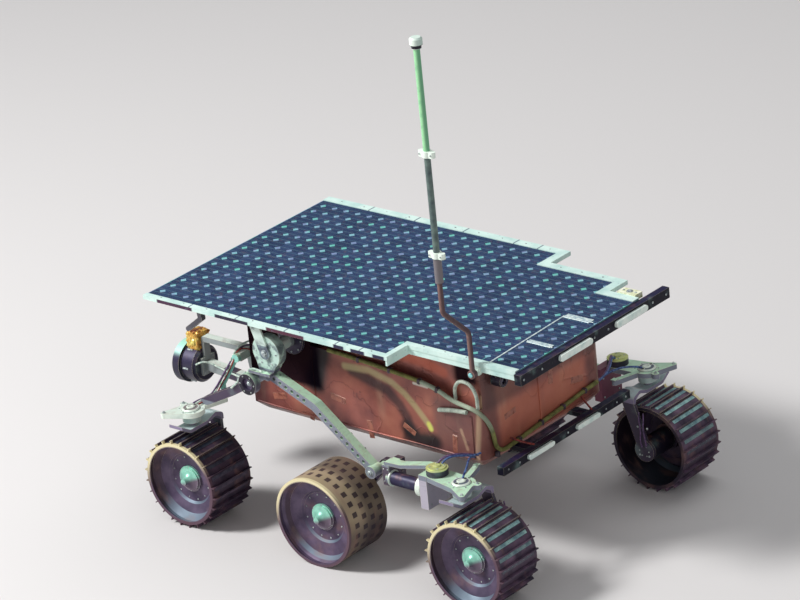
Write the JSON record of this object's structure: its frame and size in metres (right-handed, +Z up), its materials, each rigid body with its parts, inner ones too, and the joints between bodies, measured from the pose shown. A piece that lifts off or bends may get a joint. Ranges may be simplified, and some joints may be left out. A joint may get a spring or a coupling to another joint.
{
  "type": "six-wheeled planetary rover",
  "caption": "Small wheeled planetary rover with a stepped solar deck, linked rocker and bogie arms, steered corner wheels, a folding whip mast and a rear sensor head on a swing arm.",
  "frame": {"origin": "on the ground under the middle of the vehicle (bottom centre of its box)", "axes": "+X the way it drives, +Y its left side, +Z up along the raised mast"},
  "size_m": [0.677, 0.484, 0.786],
  "materials": {
    "bare_aluminium": "satin",
    "belly_plate": "matte",
    "black_bar": "matte",
    "cable_jacket": "wrapped",
    "camera_dark": "matte",
    "copper_film": "crinkled metallised film",
    "gold_foil": "crinkled",
    "hub_metal": "satin",
    "mast_brown": "satin",
    "mast_grey": "satin",
    "motor_housing": "satin",
    "sensor_dark": "matte",
    "solar_cells": "dark cells with pale corners",
    "wheel_metal": "satin",
    "white_paint": "matte"
  },
  "bodies": {
    "root": {"belly_plate": "belly_plate", "body_box": "copper_film", "bogie_left": "bare_aluminium", "bogie_right": "bare_aluminium", "bumper": "black_bar", "bumper_blocks": "white_paint", "cameras": "camera_dark", "contact_bar": "black_bar", "contact_blocks": "white_paint", "corner_sensor": "bare_aluminium", "deck_posts": "bare_aluminium", "differential_bar": "bare_aluminium", "differential_link_left": "bare_aluminium", "differential_link_right": "bare_aluminium", "drive_motor_middle_left": "motor_housing", "drive_motor_middle_right": "motor_housing", "edge_cable": "cable_jacket", "front_cables": "cable_jacket", "mast_bracket": "bare_aluminium", "panel_border_left": "white_paint", "panel_border_right": "white_paint", "panel_deck": "solar_cells", "panel_skirt": "white_paint", "rocker_left": "bare_aluminium", "rocker_pivot_left": "bare_aluminium", "rocker_pivot_right": "bare_aluminium", "rocker_right": "bare_aluminium", "sensor_bracket": "bare_aluminium", "steering_housing_front_left": "motor_housing", "steering_housing_front_right": "motor_housing", "steering_housing_rear_left": "motor_housing", "steering_housing_rear_right": "motor_housing", "steering_motor_front_left": "motor_housing", "steering_motor_front_right": "motor_housing"},
    "wheel_body_front_right": {"wheel_front_right": "wheel_metal", "hub_cap_front_right": "hub_metal"},
    "steered_front_right": {"yoke_front_right": "bare_aluminium", "drive_motor_front_right": "motor_housing"},
    "wheel_body_front_left": {"wheel_front_left": "wheel_metal", "hub_cap_front_left": "hub_metal"},
    "steered_front_left": {"yoke_front_left": "bare_aluminium", "drive_motor_front_left": "motor_housing"},
    "wheel_body_middle_right": {"wheel_middle_right": "wheel_metal", "hub_cap_middle_right": "hub_metal"},
    "wheel_body_middle_left": {"wheel_middle_left": "wheel_metal", "hub_cap_middle_left": "hub_metal"},
    "wheel_body_rear_right": {"wheel_rear_right": "wheel_metal", "hub_cap_rear_right": "hub_metal"},
    "steered_rear_right": {"yoke_rear_right": "bare_aluminium", "drive_motor_rear_right": "motor_housing"},
    "wheel_body_rear_left": {"wheel_rear_left": "wheel_metal", "hub_cap_rear_left": "hub_metal"},
    "steered_rear_left": {"yoke_rear_left": "bare_aluminium", "drive_motor_rear_left": "motor_housing"},
    "mast": {"mast_lower": "mast_brown", "mast_upper": "mast_grey", "mast_cap": "white_paint"},
    "sensor": {"sensor_arm": "bare_aluminium", "sensor_head": "sensor_dark", "sensor_foil": "gold_foil"}
  },
  "joints": [
    {"name": "steer_front_right", "type": "hinge", "parent": "root", "child": "steered_front_right", "pos_m": [0.25, -0.2025, 0.155], "axis": [0, 0, 1], "range_deg": [-55, 55]},
    {"name": "spin_front_right", "type": "hinge", "parent": "steered_front_right", "child": "wheel_body_front_right", "pos_m": [0.274, -0.2025, 0.06453], "axis": [0, 1, 0], "continuous": true},
    {"name": "steer_front_left", "type": "hinge", "parent": "root", "child": "steered_front_left", "pos_m": [0.25, 0.2025, 0.155], "axis": [0, 0, 1], "range_deg": [-55, 55]},
    {"name": "spin_front_left", "type": "hinge", "parent": "steered_front_left", "child": "wheel_body_front_left", "pos_m": [0.274, 0.2025, 0.06453], "axis": [0, 1, 0], "continuous": true},
    {"name": "spin_middle_right", "type": "hinge", "parent": "root", "child": "wheel_body_middle_right", "pos_m": [0.013, -0.2025, 0.06453], "axis": [0, 1, 0], "continuous": true},
    {"name": "spin_middle_left", "type": "hinge", "parent": "root", "child": "wheel_body_middle_left", "pos_m": [0.013, 0.2025, 0.06453], "axis": [0, 1, 0], "continuous": true},
    {"name": "steer_rear_right", "type": "hinge", "parent": "root", "child": "steered_rear_right", "pos_m": [-0.23, -0.2025, 0.155], "axis": [0, 0, 1], "range_deg": [-55, 55]},
    {"name": "spin_rear_right", "type": "hinge", "parent": "steered_rear_right", "child": "wheel_body_rear_right", "pos_m": [-0.23, -0.2025, 0.06453], "axis": [0, 1, 0], "continuous": true},
    {"name": "steer_rear_left", "type": "hinge", "parent": "root", "child": "steered_rear_left", "pos_m": [-0.23, 0.2025, 0.155], "axis": [0, 0, 1], "range_deg": [-55, 55]},
    {"name": "spin_rear_left", "type": "hinge", "parent": "steered_rear_left", "child": "wheel_body_rear_left", "pos_m": [-0.23, 0.2025, 0.06453], "axis": [0, 1, 0], "continuous": true},
    {"name": "mast_fold", "type": "hinge", "parent": "root", "child": "mast", "pos_m": [0.252, -0.1617, 0.304], "axis": [0, 1, 0], "range_deg": [-90, 0]},
    {"name": "sensor_swing", "type": "hinge", "parent": "root", "child": "sensor", "pos_m": [-0.205, -0.09, 0.162], "axis": [0, 1, 0], "range_deg": [-90, 0]}
  ]
}
